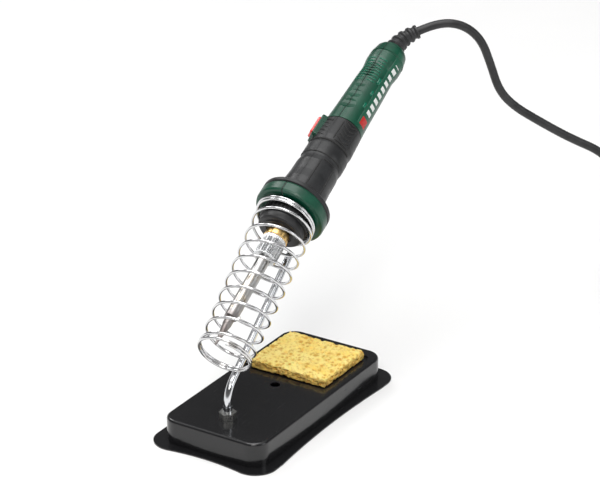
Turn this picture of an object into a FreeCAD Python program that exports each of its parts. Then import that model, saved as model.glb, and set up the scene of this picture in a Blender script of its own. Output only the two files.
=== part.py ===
import FreeCAD, Part
import math
import os
import re

import Sketcher
from FreeCAD import Placement, Rotation, Vector

"""Mains soldering iron resting in a coil holder on a pressed-steel base with a cleaning sponge.

The origin is the middle of the base's underside. +X runs along the base from the holder rod to
the sponge and +Z is up. Millimetres and degrees throughout. The rod carries the coil in a plane
turned a little from +X, and the iron leans in the coil, so each of them has a frame of its own:
local Z along its axis, local X to the upper side, local Y to the operator's right.
"""

doc = FreeCAD.newDocument("SolderingStation")
sheet = doc.addObject("Spreadsheet::Sheet", "Sizes")

SIZES = {
    # pressed-steel base
    "base_length": 154.0, "base_width": 75.0, "base_height": 17.5, "sheet_wall": 0.9,
    "base_corner": 11.0, "base_edge": 2.0, "flange_ear": 7.5, "flange_waist": 4.8,
    "flange_corner": 15.0, "long_waist_radius": 700.0, "short_waist_radius": 150.0,
    "hole_radius": 3.3, "rod_inset": 21.4,
    # sponge and the shallow seat it lies in
    "sponge_long": 52.0, "sponge_wide": 60.0, "sponge_thick": 7.0, "sponge_corner": 1.5,
    "seat_depth": 1.5, "seat_clear": 2.75, "seat_inset": 9.0, "seat_corner": 6.0,
    "rest_gap": 0.3,
    # holder rod and its fasteners
    "rod_radius": 2.5, "thread_radius": 3.0, "rod_rise": 19.1, "rod_bend": 15.0,
    "rod_slope": 31.9, "rod_turn": 7.0, "rod_reach": 108.0, "thread_above": 9.0,
    "nut_flats": 10.0, "nut_thick": 5.0, "washer_radius": 6.0, "washer_thick": 1.6,
    # holder coil
    "wire_radius": 0.95, "coil_low_radius": 17.5, "coil_top_radius": 19.9,
    "coil_length": 109.4, "coil_start": 12.26, "coil_roll": 4.2, "coil_foot_gap": 1.55,
    "coil_turns": 12.6, "coil_phase": 20.0, "contact_gap": 0.05,
    # iron: how it lies, and distances along its barrel from the point of the tip
    "iron_slope": 28.4, "iron_turn": 3.5, "iron_side": 0.8, "iron_sag": 0.2, "iron_gap": 0.35,
    "tip_shank": 3.0, "tip_cone": 16.0, "tip_point": 0.45, "tip_insert": 14.0,
    "barrel_front": 21.8, "barrel_radius": 4.4, "barrel_wall": 0.5, "socket_long": 16.0,
    "barrel_rear": 112.0, "slot_front": 61.7, "slot_long": 7.0, "slot_wide": 1.6,
    "barrel_roll": 110.0, "screw_radius": 1.5, "screw_proud": 1.3, "screw_setback": 1.9,
    "nut_front": 70.8, "nut_rear": 87.0, "knurl_radius": 7.9, "flute_depth": 0.25,
    "ferrule_radius": 8.2, "ferrule_spigot": 5.9, "ferrule_body": 7.0, "ferrule_step": 92.0,
    "ferrule_rear": 106.0, "ring_front": 93.4, "ring_step": 99.8, "ring_radius": 17.0,
    "ring_nose": 15.4, "ring_spigot": 11.3, "ring_clear": 1.6, "ring_rear": 113.0, "rib_depth": 0.7,
    "collar_front": 108.1, "heater_radius": 3.0, "heater_front": 39.0, "fit_gap": 0.1,
    # handle: distances along its own axis from the collar's front face
    "handle_bend": 4.2, "collar_radius": 24.2, "collar_thick": 8.5, "rim_gap": 0.1,
    "rim_thick": 4.0, "handle_long": 162.0, "grip_end": 82.0, "grip_thick": 1.6,
    "shell_wall": 2.2, "root_radius": 15.8, "palm_radius": 14.9, "dent_depth": 0.7,
    "waist_radius": 13.6, "tail_radius": 11.5, "pommel_radius": 12.5, "end_radius": 9.8,
    "end_wall": 4.0, "mouth_radius": 8.0, "scallop_radius": 13.0, "scallop_depth": 1.0,
    # switch: distances outwards from the handle's axis
    "button_at": 73.0, "button_angle": 60.0, "button_long": 15.0, "button_wide": 8.4,
    "button_top": 18.2, "button_lip": 0.8, "lip_thick": 1.3, "lip_gap": 0.3,
    "button_travel": 1.8, "slide_gap": 0.3, "bezel_rim": 1.8, "bezel_top": 16.6,
    "bezel_foot": 11.0, "switch_long": 12.8, "switch_wide": 5.8, "switch_tall": 6.0,
    "plunger_radius": 1.2,
    # fasteners and parts inside the handle
    "screw_shank": 1.25, "screw_head": 2.5, "screw_head_thick": 1.8, "boss_radius": 2.5,
    "boss_front": 104.0, "boss_rear": 146.0, "boss_low": 5.6, "screw_long": 11.0,
    "block_at": 20.0, "block_long": 14.0, "block_wide": 13.0, "block_tall": 8.0,
    "clamp_at": 131.0, "clamp_long": 8.0, "clamp_wide": 13.4, "clamp_tall": 2.4,
    "lead_radius": 0.8,
    # mains lead
    "cord_radius": 3.0, "relief_long": 26.0, "relief_root": 7.1, "relief_end": 5.0,
    "relief_groove": 1.0, "relief_rings": 5, "flange_thick": 1.9, "coil_mean": 36.0, "coil_band": 18.0,
    "coil_high": 12.6,
    "plug_radius": 18.5, "plug_body": 20.0, "plug_neck": 24.0, "pin_radius": 2.4,
    "pin_long": 19.0, "pin_pitch": 19.0,
}

for row, (alias, size) in enumerate(SIZES.items(), start=1):
    sheet.set(f"A{row}", alias)
    sheet.set(f"B{row}", str(size))
    sheet.setAlias(f"B{row}", alias)
doc.recompute()

ALIAS = re.compile(r"\b(" + "|".join(SIZES) + r")\b")
PARTS = []


def num(expression):
    return float(sheet.evalExpression(expression))


def bind(target, **expressions):
    for prop, expression in expressions.items():
        target.setExpression(prop, ALIAS.sub(r"Sizes.\1", expression))


# ---------------------------------------------------------------- sketch and feature helpers

def new_body(name, placement=None):
    body = doc.addObject("PartDesign::Body", name)
    body.Label = name
    body.Placement = placement or Placement()
    PARTS.append(body)
    return body


def new_sketch(body, plane, turn=0.0, lift=None):
    """Sketch on one of the body's own planes, turned about its vertical or lifted off it."""
    sketch = body.newObject("Sketcher::SketchObject", body.Label + "_sketch")
    datum = next(f for f in body.Origin.OriginFeatures if f.Role == plane)
    sketch.AttachmentSupport = [(datum, "")]
    sketch.MapMode = "FlatFace"
    sketch.AttachmentOffset = Placement(Vector(), Rotation(Vector(0, 1, 0), turn))
    if lift:
        bind(sketch, **{"AttachmentOffset.Base.z": lift})
        doc.recompute()
    return sketch


def hold(sketch, geometry, point, x, y):
    """Fix a point by its two coordinates, each bound to the sheet."""
    for kind, axis, expression in (("DistanceX", -2, x), ("DistanceY", -1, y)):
        value = num(expression)
        if abs(value) < 1e-9:
            sketch.addConstraint(Sketcher.Constraint("PointOnObject", geometry, point, axis))
        else:
            index = sketch.addConstraint(
                Sketcher.Constraint(kind, -1, 1, geometry, point, value))
            bind(sketch, **{f"Constraints[{index}]": expression})


def draw_outline(sketch, points):
    first = sketch.GeometryCount
    spots = [Vector(num(x), num(y), 0) for x, y in points]
    for start, end in zip(spots, spots[1:] + spots[:1]):
        sketch.addGeometry(Part.LineSegment(start, end))
    count = len(points)
    for i, (x, y) in enumerate(points):
        sketch.addConstraint(Sketcher.Constraint(
            "Coincident", first + i, 2, first + (i + 1) % count, 1))
        hold(sketch, first + i, 1, x, y)


def draw_rectangle(sketch, x0, x1, y0, y1):
    draw_outline(sketch, [(x0, y0), (x1, y0), (x1, y1), (x0, y1)])


def draw_rounded(sketch, x0, x1, y0, y1, corner):
    """Rectangle with tangent corner arcs: four sides in place, one radius for the corners."""
    left, right, low, high, r = (num(size) for size in (x0, x1, y0, y1, corner))
    first = sketch.GeometryCount
    sides = [((left + r, low), (right - r, low)), ((right, low + r), (right, high - r)),
             ((right - r, high), (left + r, high)), ((left, high - r), (left, low + r))]
    centres = [(right - r, low + r), (right - r, high - r), (left + r, high - r),
               (left + r, low + r)]
    for k, ((start, end), centre) in enumerate(zip(sides, centres)):
        sketch.addGeometry(Part.LineSegment(Vector(*start, 0), Vector(*end, 0)))
        circle = Part.Circle(Vector(*centre, 0), Vector(0, 0, 1), r)
        quarter = math.pi / 2 * (k - 1)
        sketch.addGeometry(Part.ArcOfCircle(circle, quarter, quarter + math.pi / 2))
    for k in range(4):
        line, arc, following = first + 2 * k, first + 2 * k + 1, first + (2 * k + 2) % 8
        sketch.addConstraint(Sketcher.Constraint("Tangent", line, 2, arc, 1))
        sketch.addConstraint(Sketcher.Constraint("Tangent", arc, 2, following, 1))
        level = k % 2 == 0
        sketch.addConstraint(Sketcher.Constraint("Horizontal" if level else "Vertical", line))
        at = (y0, x1, y1, x0)[k]
        index = sketch.addConstraint(Sketcher.Constraint(
            "DistanceY" if level else "DistanceX", -1, 1, line, 1, num(at)))
        bind(sketch, **{f"Constraints[{index}]": at})
        index = sketch.addConstraint(Sketcher.Constraint("Radius", arc, r))
        bind(sketch, **{f"Constraints[{index}]": corner})


def draw_circle(sketch, x, y, radius):
    index = sketch.addGeometry(Part.Circle(Vector(num(x), num(y), 0), Vector(0, 0, 1),
                                           num(radius)))
    hold(sketch, index, 3, x, y)
    radius_at = sketch.addConstraint(Sketcher.Constraint("Radius", index, num(radius)))
    bind(sketch, **{f"Constraints[{radius_at}]": radius})


def draw_hexagon(sketch, flats):
    corners = [(f"{flats} / sqrt(3) * cos({60 * k} deg)", f"{flats} / sqrt(3) * sin({60 * k} deg)")
               for k in range(6)]
    draw_outline(sketch, corners)


def extrude(body, kind, sketch, length, reverse=False, both=False, through=False):
    feature = body.newObject("PartDesign::" + kind, kind)
    feature.Profile = sketch
    feature.Reversed = reverse
    feature.Midplane = both
    if through:
        feature.Type = "ThroughAll"
    else:
        bind(feature, Length=length)
    if kind == "Pocket":
        before = volume_of(feature.BaseFeature)
        doc.recompute()
        if feature.Shape.Volume > before - 1e-3:
            raise ValueError(f"{body.Label}: a pocket cuts nothing")
    return feature


def volume_of(feature):
    doc.recompute()
    return feature.Shape.Volume


def revolve(body, sketch, angle=360.0, reverse=False):
    feature = body.newObject("PartDesign::Revolution", "Revolution")
    feature.Profile = sketch
    feature.ReferenceAxis = (sketch, ["V_Axis"])
    feature.Angle = angle
    feature.Reversed = reverse
    return feature


def turned(name, placement, profile, angle=360.0, reverse=False):
    """A piece turned about its local Z: profile points are (radius, distance along the axis)."""
    body = new_body(name, placement)
    sketch = new_sketch(body, "XZ_Plane")
    draw_outline(sketch, profile)
    revolve(body, sketch, angle, reverse)
    return body


def sleeve(name, placement, bore, radius, start, end):
    inner = [(bore, start), (radius, start), (radius, end), (bore, end)]
    return turned(name, placement, inner)


def dress(body, kind, size, chosen):
    """Fillet or chamfer the edges of the finished shape that the test picks."""
    doc.recompute()
    shape = body.Tip.Shape
    names = [f"Edge{i}" for i, edge in enumerate(shape.Edges, start=1) if chosen(edge)]
    if not names:
        raise ValueError(f"{body.Label}: no edge to {kind.lower()}")
    tip = body.Tip
    feature = body.newObject("PartDesign::" + kind, kind)
    feature.Base = (tip, names)
    bind(feature, **{"Radius" if kind == "Fillet" else "Size": size})
    return feature


def polar(body, features, count):
    pattern = body.newObject("PartDesign::PolarPattern", "PolarPattern")
    pattern.Originals = features
    axis = next(f for f in body.Origin.OriginFeatures if f.Role == "Z_Axis")
    pattern.Axis = (axis, [""])
    pattern.Angle = 360
    pattern.Occurrences = count
    body.Tip = pattern
    return pattern


def upright(edge):
    if not isinstance(edge.Curve, Part.Line):
        return False
    run = edge.Vertexes[1].Point - edge.Vertexes[0].Point
    return math.hypot(run.x, run.y) < 1e-6


def level_at(z):
    return lambda edge: all(abs(v.Z - z) < 1e-6 for v in edge.Vertexes)


def round_at(radius, z):
    """Circular edges about the local axis with this radius at this height."""
    def chosen(edge):
        return (isinstance(edge.Curve, Part.Circle) and abs(edge.Curve.Radius - radius) < 1e-4
                and abs(edge.Curve.Center.z - z) < 1e-4)
    return chosen


def primitive(kind, name, placement, **sizes):
    item = doc.addObject("Part::" + kind, name)
    item.Placement = placement
    bind(item, **sizes)
    return item


def joined(name, items):
    fuse = doc.addObject("Part::MultiFuse", name)
    fuse.Label = name
    fuse.Shapes = items
    PARTS.append(fuse)
    return fuse


def grouped(name, items):
    """Separate solids that share a node, such as identical fasteners."""
    group = doc.addObject("Part::Compound", name)
    group.Label = name
    group.Links = items
    PARTS.append(group)
    return group


def shaped(name, shape, placement=None):
    feature = doc.addObject("Part::Feature", name)
    feature.Label = name
    feature.Shape = shape
    feature.Placement = placement or Placement()
    PARTS.append(feature)
    return feature


# ---------------------------------------------------------------- frames

def heading(turn, slope):
    turn, slope = math.radians(turn), math.radians(slope)
    return Vector(math.cos(slope) * math.cos(turn), math.cos(slope) * math.sin(turn),
                  math.sin(slope))


def aimed(origin, along, roll=0.0):
    """Frame with Z along the axis, X to its upper side and Y to the operator's right."""
    left = Vector(0, 0, 1).cross(along).normalize()
    upper = along.cross(left)
    rotation = Rotation(upper, left.negative(), along, "ZXY")
    return Placement(origin, rotation.multiply(Rotation(Vector(0, 0, 1), roll)))


rod_x = -num("base_length / 2 - rod_inset")
rod_corner = Vector(rod_x, 0, num("base_height + rod_rise"))
rod_along = heading(num("rod_turn"), num("rod_slope"))
rod_left = Vector(0, 0, 1).cross(rod_along).normalize()
rod_upper = rod_along.cross(rod_left)
roll = math.radians(num("coil_roll"))
coil_side = rod_upper * math.cos(roll) + rod_left * math.sin(roll)
coil_low = (rod_corner + rod_along * num("coil_start")
            + coil_side * num("coil_low_radius + wire_radius + rod_radius + coil_foot_gap"))
coil_top = (rod_corner + rod_along * num("coil_start + coil_length")
            + coil_side * num("coil_top_radius + wire_radius + rod_radius + contact_gap"))

barrel_along = heading(num("iron_turn"), num("iron_slope"))
handle_along = heading(num("iron_turn"), num("iron_slope - handle_bend"))
iron_left = Vector(0, 0, 1).cross(handle_along).normalize()
iron_upper = handle_along.cross(iron_left)
collar_centre = (coil_top + handle_along * num("wire_radius + iron_gap")
                 - iron_left * num("iron_side") - iron_upper * num("iron_sag"))
BARREL = aimed(collar_centre - barrel_along * num("collar_front"), barrel_along)
HANDLE = aimed(collar_centre, handle_along)

# ---------------------------------------------------------------- base tray

half_long, half_wide = "base_length / 2", "base_width / 2"
tray = new_body("base_tray")
flange = new_sketch(tray, "XY_Plane")
draw_rounded(flange, f"-({half_long} + flange_ear)", f"{half_long} + flange_ear",
             f"-({half_wide} + flange_ear)", f"{half_wide} + flange_ear", "flange_corner")
extrude(tray, "Pad", flange, "sheet_wall")

waists = new_sketch(tray, "XY_Plane")
for sign in ("", "-"):
    draw_circle(waists, f"{sign}({half_long} + flange_waist + short_waist_radius)", "0",
                "short_waist_radius")
    draw_circle(waists, "0", f"{sign}({half_wide} + flange_waist + long_waist_radius)",
                "long_waist_radius")
extrude(tray, "Pocket", waists, "sheet_wall", reverse=True)

walls = new_sketch(tray, "XY_Plane")
draw_rounded(walls, f"-{half_long}", half_long, f"-{half_wide}", half_wide, "base_corner")
extrude(tray, "Pad", walls, "base_height")
dress(tray, "Fillet", "base_edge", level_at(num("base_height")))

inner_long, inner_wide = f"{half_long} - sheet_wall", f"{half_wide} - sheet_wall"
seat_x1 = f"{half_long} - seat_inset"
seat_x0 = f"{half_long} - seat_inset - sponge_long - 2 * seat_clear"
seat_y = "sponge_wide / 2 + seat_clear"
hollow = new_sketch(tray, "XY_Plane")
draw_rounded(hollow, f"-({inner_long})", inner_long, f"-({inner_wide})", inner_wide,
             "base_corner - sheet_wall")
extrude(tray, "Pocket", hollow, "base_height - sheet_wall - seat_depth", reverse=True)
roof = new_sketch(tray, "XY_Plane")
draw_rounded(roof, f"-({inner_long})", f"{seat_x0} - sheet_wall", f"-({inner_wide})",
             inner_wide, "base_corner - sheet_wall")
extrude(tray, "Pocket", roof, "base_height - sheet_wall", reverse=True)
seat = new_sketch(tray, "XY_Plane", lift="base_height")
draw_rounded(seat, seat_x0, seat_x1, f"-({seat_y})", seat_y, "seat_corner")
extrude(tray, "Pocket", seat, "seat_depth")

holes = new_sketch(tray, "XY_Plane")
draw_circle(holes, "0", "0", "hole_radius")
draw_circle(holes, f"-({half_long} - rod_inset)", "0", "hole_radius")
extrude(tray, "Pocket", holes, "base_height", reverse=True, through=True)

# ---------------------------------------------------------------- sponge

sponge = new_body("sponge", Placement(
    Vector(0, 0, num("base_height - seat_depth + rest_gap")), Rotation()))
cake = new_sketch(sponge, "XY_Plane")
draw_rectangle(cake, f"{seat_x0} + seat_clear", f"{seat_x1} - seat_clear",
               "-sponge_wide / 2", "sponge_wide / 2")
extrude(sponge, "Pad", cake, "sponge_thick")
dress(sponge, "Fillet", "sponge_corner", upright)

# ---------------------------------------------------------------- rod, nuts and washer

turn = 90 - num("rod_slope")
tangent = num("rod_bend") * math.tan(math.radians(turn / 2))
outwards = heading(num("rod_turn"), 0)
thread_foot = num("base_height - sheet_wall - washer_thick - nut_thick - 1.6")
rod_foot = rod_corner - Vector(0, 0, tangent)
bend_frame = Placement(rod_foot + outwards * num("rod_bend"),
                       Rotation(outwards.negative(), Vector(0, 0, 1), rod_left, "ZXY"))
rod_tail = f"{rod_foot.z} - (base_height - sheet_wall - washer_thick - nut_thick - 1.6)"
joined("stand_rod", [
    primitive("Cylinder", "rod_foot", Placement(Vector(rod_x, 0, thread_foot), Rotation()),
              Radius="thread_radius",
              Height="thread_above + sheet_wall + washer_thick + nut_thick + 1.6"),
    primitive("Cylinder", "rod_upright", Placement(Vector(rod_x, 0, thread_foot), Rotation()),
              Radius="rod_radius", Height=rod_tail),
    primitive("Torus", "rod_elbow", bend_frame,
              Radius1="rod_bend", Radius2="rod_radius", Angle3="90 deg - rod_slope * 1 deg"),
    primitive("Cylinder", "rod_slant", aimed(rod_corner + rod_along * tangent, rod_along),
              Radius="rod_radius", Height=f"rod_reach - {tangent}"),
    primitive("Sphere", "rod_end", Placement(rod_corner + rod_along * num("rod_reach"),
                                             Rotation()), Radius="rod_radius"),
])

for name, low in (("rod_top_nut", "base_height"),
                  ("rod_lock_nut", "base_height - sheet_wall - washer_thick - nut_thick")):
    nut = new_body(name, Placement(Vector(rod_x, 0, num(low)),
                                   Rotation(Vector(0, 0, 1), num("rod_turn"))))
    plan = new_sketch(nut, "XY_Plane")
    draw_hexagon(plan, "nut_flats")
    draw_circle(plan, "0", "0", "thread_radius + contact_gap")
    extrude(nut, "Pad", plan, "nut_thick")

sleeve("rod_washer", Placement(Vector(rod_x, 0, num("base_height - sheet_wall - washer_thick")),
                               Rotation()),
       "thread_radius + contact_gap", "washer_radius", "0", "washer_thick")

# ---------------------------------------------------------------- holder coil


def smooth(value):
    value = min(max(value, 0.0), 1.0)
    return value * value * (3 - 2 * value)


def coil_points():
    """Centre line of the wire: closed turns at both ends, the last ones square to the collar."""
    turns, length = num("coil_turns"), num("coil_length")
    low, top = num("coil_low_radius"), num("coil_top_radius")
    closed = num("2 * wire_radius + contact_gap")
    axis = (coil_top - coil_low).normalize()
    steps = int(turns * 24)
    share = [smooth((turns * i / steps - 1.4) / 0.7) - smooth((turns * i / steps - turns + 2.7) / 0.9)
             for i in range(steps + 1)]
    ramp = [0.0]
    for before, after in zip(share, share[1:]):
        ramp.append(ramp[-1] + (before + after) / 2 * turns / steps)
    pitch = (coil_low.distanceToPoint(coil_top) - closed * turns) / ramp[-1]
    points = []
    for i, ramped in enumerate(ramp):
        done = turns * i / steps
        rise = closed * done + pitch * ramped
        normal = (axis + (handle_along - axis) * smooth((rise - length + 30) / 28)).normalize()
        left = Vector(0, 0, 1).cross(normal).normalize()
        upper = normal.cross(left)
        angle = math.radians(num("coil_phase")) + 2 * math.pi * done
        radius = low + (top - low) * rise / length
        points.append(coil_low + axis * rise + upper * (radius * math.cos(angle))
                      - left * (radius * math.sin(angle)))
    return points


spine = coil_points()
curve = Part.BSplineCurve()
curve.interpolate(spine)
start = (spine[1] - spine[0]).normalize()
wire_end = Part.Wire([Part.makeCircle(num("wire_radius"), spine[0], start)])
shaped("holder_spring", Part.Wire([curve.toShape()]).makePipeShell([wire_end], True, True))

# ---------------------------------------------------------------- tip, barrel and heater

turned("soldering_tip", BARREL, [
    ("0", "0"), ("tip_point", "0"), ("tip_point + 0.2", "0.6"),
    ("tip_shank - 0.2", "tip_cone"), ("tip_shank", "tip_cone + 0.2"),
    ("tip_shank", "barrel_front + tip_insert"), ("0", "barrel_front + tip_insert")])

ROLLED = BARREL.multiply(Placement(Vector(), Rotation(Vector(0, 0, 1), num("barrel_roll"))))
screw_at = "barrel_front + screw_setback"
barrel = turned("barrel_tube", ROLLED, [
    ("tip_shank + contact_gap", "barrel_front"), ("barrel_radius - 0.2", "barrel_front"),
    ("barrel_radius", "barrel_front + 0.3"), ("barrel_radius", "barrel_rear"),
    ("barrel_radius - barrel_wall", "barrel_rear"),
    ("barrel_radius - barrel_wall", "barrel_front + socket_long"),
    ("tip_shank + contact_gap", "barrel_front + socket_long")])
for angle in (45, -45):
    slot = new_sketch(barrel, "XZ_Plane", turn=angle)
    draw_rectangle(slot, "-slot_wide / 2", "slot_wide / 2", "slot_front", "slot_front + slot_long")
    extrude(barrel, "Pocket", slot, "4 * barrel_radius", both=True)
tapping = new_sketch(barrel, "YZ_Plane")
draw_circle(tapping, "0", screw_at, "screw_radius + contact_gap")
extrude(barrel, "Pocket", tapping, "2 * barrel_radius", reverse=True)

screw_frame = ROLLED.multiply(Placement(Vector(num("tip_shank"), 0, num(screw_at)),
                                        Rotation(Vector(0, 1, 0), 90)))
grub = new_body("tip_set_screw", screw_frame)
plan = new_sketch(grub, "XY_Plane")
draw_circle(plan, "0", "0", "screw_radius")
extrude(grub, "Pad", plan, "barrel_radius - tip_shank + screw_proud")
driver = new_sketch(grub, "XY_Plane", lift="barrel_radius - tip_shank + screw_proud")
draw_rectangle(driver, "-1.8", "1.8", "-0.25", "0.25")
extrude(grub, "Pocket", driver, "0.7")

sleeve("heater_element", BARREL, "0.6", "heater_radius", "heater_front", "barrel_rear - 2")

# ---------------------------------------------------------------- union nut, ferrule and ring

nut = turned("barrel_nut", BARREL, [
    ("barrel_radius + fit_gap", "nut_front"), ("knurl_radius - 1", "nut_front"),
    ("knurl_radius", "nut_front + 1"), ("knurl_radius", "nut_rear"),
    ("ferrule_spigot + fit_gap", "nut_rear"), ("ferrule_spigot + fit_gap", "nut_front + 4"),
    ("barrel_radius + fit_gap", "nut_front + 4")])
flute = new_sketch(nut, "XY_Plane", lift="nut_rear")
draw_circle(flute, "knurl_radius + 0.45 - flute_depth", "0", "0.45")
cut = extrude(nut, "Pocket", flute, "nut_rear - nut_front")
polar(nut, [cut], 40)

turned("brass_ferrule", BARREL, [
    ("barrel_radius + fit_gap", "nut_rear - 9"), ("ferrule_spigot", "nut_rear - 9"),
    ("ferrule_spigot", "nut_rear + fit_gap"), ("ferrule_radius - 0.5", "nut_rear + fit_gap"),
    ("ferrule_radius", "nut_rear + fit_gap + 0.5"), ("ferrule_radius", "ferrule_step"),
    ("ferrule_body", "ferrule_step"), ("ferrule_body", "ferrule_rear"),
    ("barrel_radius + fit_gap", "ferrule_rear")])

ring = turned("insulating_ring", BARREL, [
    ("ferrule_body + fit_gap", "ring_front + 1.2"), ("ferrule_radius + 1", "ring_front + 1.2"),
    ("ferrule_radius + 1", "ring_front"), ("ferrule_radius + 3.6", "ring_front"),
    ("ferrule_radius + 3.6", "ring_front + 0.6"), ("ring_nose - 1", "ring_front + 0.6"),
    ("ring_nose", "ring_front + 1.6"), ("ring_nose", "ring_step"),
    ("ring_radius - 0.8", "ring_step"), ("ring_radius", "ring_step + 0.8"),
    ("ring_radius", "collar_front - ring_clear"), ("ring_spigot", "collar_front - ring_clear"),
    ("ring_spigot", "ring_rear"), ("ferrule_body + fit_gap", "ring_rear")])
notch = new_sketch(ring, "XY_Plane", lift="ring_step")
draw_rectangle(notch, "ring_radius - rib_depth", "ring_radius + 1", "-0.7", "0.7")
cut = extrude(ring, "Pocket", notch, "collar_front - ring_clear - 1.2 - ring_step", reverse=True)
polar(ring, [cut], 36)

# ---------------------------------------------------------------- handle shells and grip

hub_root = "root_radius - grip_thick - fit_gap"
hub_palm = "palm_radius - grip_thick - fit_gap - 0.1"
hub_end = "waist_radius - grip_thick - fit_gap"
rear_in = "handle_long - end_wall"
SHELL = [
    (f"{hub_root} - shell_wall", "0"), ("collar_radius - 1.8", "0"),
    ("collar_radius - 0.5", "0.5"), ("collar_radius", "1.8"),
    ("collar_radius", "collar_thick - 1.2"), ("collar_radius - 0.6", "collar_thick"),
    (hub_root, "collar_thick"), (hub_root, "24"), (hub_palm, "31"), (hub_palm, "66"),
    (hub_end, "grip_end"), (hub_end, "grip_end + fit_gap"), ("waist_radius", "grip_end + fit_gap"),
    ("waist_radius - 0.4", "90"), ("waist_radius - 0.8", "101"),
    ("waist_radius - 1.4", "122"), ("tail_radius", "138"),
    ("tail_radius + 0.4", "140.5"), ("pommel_radius", "145.5"), ("pommel_radius", "150"),
    ("pommel_radius - 0.6", "150.6"), ("pommel_radius - 0.6", "151.8"),
    ("pommel_radius", "152.4"), ("pommel_radius - 0.5", "155"),
    ("pommel_radius - 1.5", "handle_long - 2"), ("end_radius", "handle_long"),
    ("mouth_radius", "handle_long"), ("mouth_radius", rear_in),
    ("pommel_radius - shell_wall - 0.6", rear_in),
    ("pommel_radius - shell_wall - 0.6", "146"), ("tail_radius - shell_wall", "138"),
    ("waist_radius - 1.4 - shell_wall", "122"), (f"{hub_end} - shell_wall", "90"),
    (f"{hub_end} - shell_wall", "grip_end"), (f"{hub_palm} - shell_wall", "66"),
    (f"{hub_palm} - shell_wall", "31"), (f"{hub_root} - shell_wall", "24"),
]
rim_front = "collar_thick + rim_gap"
GRIP = [
    (f"{hub_root} + fit_gap", rim_front), ("collar_radius - 0.8", rim_front),
    ("collar_radius", f"{rim_front} + 0.8"), ("collar_radius", f"{rim_front} + rim_thick - 1"),
    ("collar_radius - 1", f"{rim_front} + rim_thick"),
    ("root_radius + 2", f"{rim_front} + rim_thick + 0.3"),
    ("root_radius + 0.5", f"{rim_front} + rim_thick + 1.2"), ("root_radius", "16"),
    ("root_radius - 0.1", "24"), ("palm_radius + 0.2", "31"), ("palm_radius", "41"),
    ("palm_radius - dent_depth", "45.5"), ("palm_radius", "50"), ("palm_radius - 0.1", "57"),
    ("palm_radius - dent_depth", "61"), ("palm_radius - 0.2", "65"),
    ("waist_radius + 0.1", "grip_end - 0.6"), ("waist_radius - 0.5", "grip_end"),
    (f"{hub_end} + fit_gap", "grip_end"), (f"{hub_palm} + fit_gap", "66"),
    (f"{hub_palm} + fit_gap", "31"), (f"{hub_root} + fit_gap", "24"),
]

hole_long = "button_long / 2 + slide_gap + bezel_rim + fit_gap"
hole_wide = "button_wide / 2 + slide_gap + bezel_rim + fit_gap"
boss_spots = [("boss_front", "waist_radius - 0.9"), ("boss_rear", "pommel_radius")]


def cut_button_hole(body):
    """The opening for the switch bezel, square to the button's direction."""
    opening = new_sketch(body, "XZ_Plane", turn=90 - num("button_angle"))
    draw_rectangle(opening, f"-({hole_wide})", hole_wide,
                   f"button_at - ({hole_long})", f"button_at + {hole_long}")
    extrude(body, "Pocket", opening, "collar_radius", reverse=True)


for side, reverse in (("left", True), ("right", False)):
    shell = turned(f"handle_shell_{side}", HANDLE, SHELL, 180, reverse)
    for at, outer in boss_spots:
        reach = f"sqrt(({outer} - 0.7) ^ 2 - (boss_low + boss_radius) ^ 2)"
        post = new_sketch(shell, "XZ_Plane")
        draw_circle(post, "-boss_low", at, "boss_radius")
        extrude(shell, "Pad", post, reach, reverse=side == "right")
        bore = new_sketch(shell, "XZ_Plane")
        if side == "left":
            draw_circle(bore, "-boss_low", at, "screw_shank + fit_gap")
            extrude(shell, "Pocket", bore, "collar_radius", reverse=True)
            head = new_sketch(shell, "XZ_Plane", lift="screw_long / 2")
            draw_circle(head, "-boss_low", at, "screw_head + fit_gap")
            extrude(shell, "Pocket", head, "collar_radius", reverse=True)
        else:
            draw_circle(bore, "-boss_low", at, "screw_shank")
            extrude(shell, "Pocket", bore, "screw_long / 2 + 0.5")
    grooves = new_sketch(shell, "XZ_Plane")
    for middle in (97, 107, 117):
        centre = "waist_radius - 0.9 - scallop_depth + scallop_radius"
        depth = f"({centre} - scallop_radius)"
        draw_outline(grooves, [
            (f"{depth} + 0.05", f"{middle}"), (f"{depth} + 0.35", f"{middle + 2.6}"),
            (f"{depth} + 1.3", f"{middle + 4.6}"), (f"{depth} + 4", f"{middle + 4.6}"),
            (f"{depth} + 4", f"{middle - 4.6}"), (f"{depth} + 1.3", f"{middle - 4.6}"),
            (f"{depth} + 0.35", f"{middle - 2.6}")])
    for k in range(6):
        low = f"{125.4 + 2.4 * k}"
        draw_rectangle(grooves, "tail_radius - 0.3", "tail_radius + 4",
                       low, f"{125.4 + 2.4 * k + 1.2}")
    extrude(shell, "Pocket", grooves, "4 * tail_radius", both=True)
    grip = turned(f"grip_{side}", HANDLE, GRIP, 180, reverse)
    if side == "left":
        cut_button_hole(shell)
        cut_button_hole(grip)

screws = []
for at, outer in boss_spots:
    face = HANDLE.multiply(Placement(Vector(-num("boss_low"), 0, num(at)),
                                     Rotation(Vector(1, 0, 0), 90)))
    shank = primitive("Cylinder", "screw_shank_part", face.multiply(
        Placement(Vector(0, 0, -num("screw_long / 2")), Rotation())),
        Radius="screw_shank - contact_gap", Height="screw_long")
    head = primitive("Cylinder", "screw_head_part", face.multiply(
        Placement(Vector(0, 0, num("screw_long / 2")), Rotation())),
        Radius="screw_head", Height="screw_head_thick")
    whole = doc.addObject("Part::MultiFuse", "handle_screw")
    whole.Shapes = [shank, head]
    screws.append(whole)
grouped("handle_screws", screws)

# ---------------------------------------------------------------- switch

KEY = HANDLE.multiply(Placement(
    Vector(0, 0, num("button_at")),
    Rotation(Vector(0, 0, 1), -num("button_angle")).multiply(
        Rotation(Vector(0, 0, 1), Vector(0, -1, 0), Vector(1, 0, 0), "ZXY"))))


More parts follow.
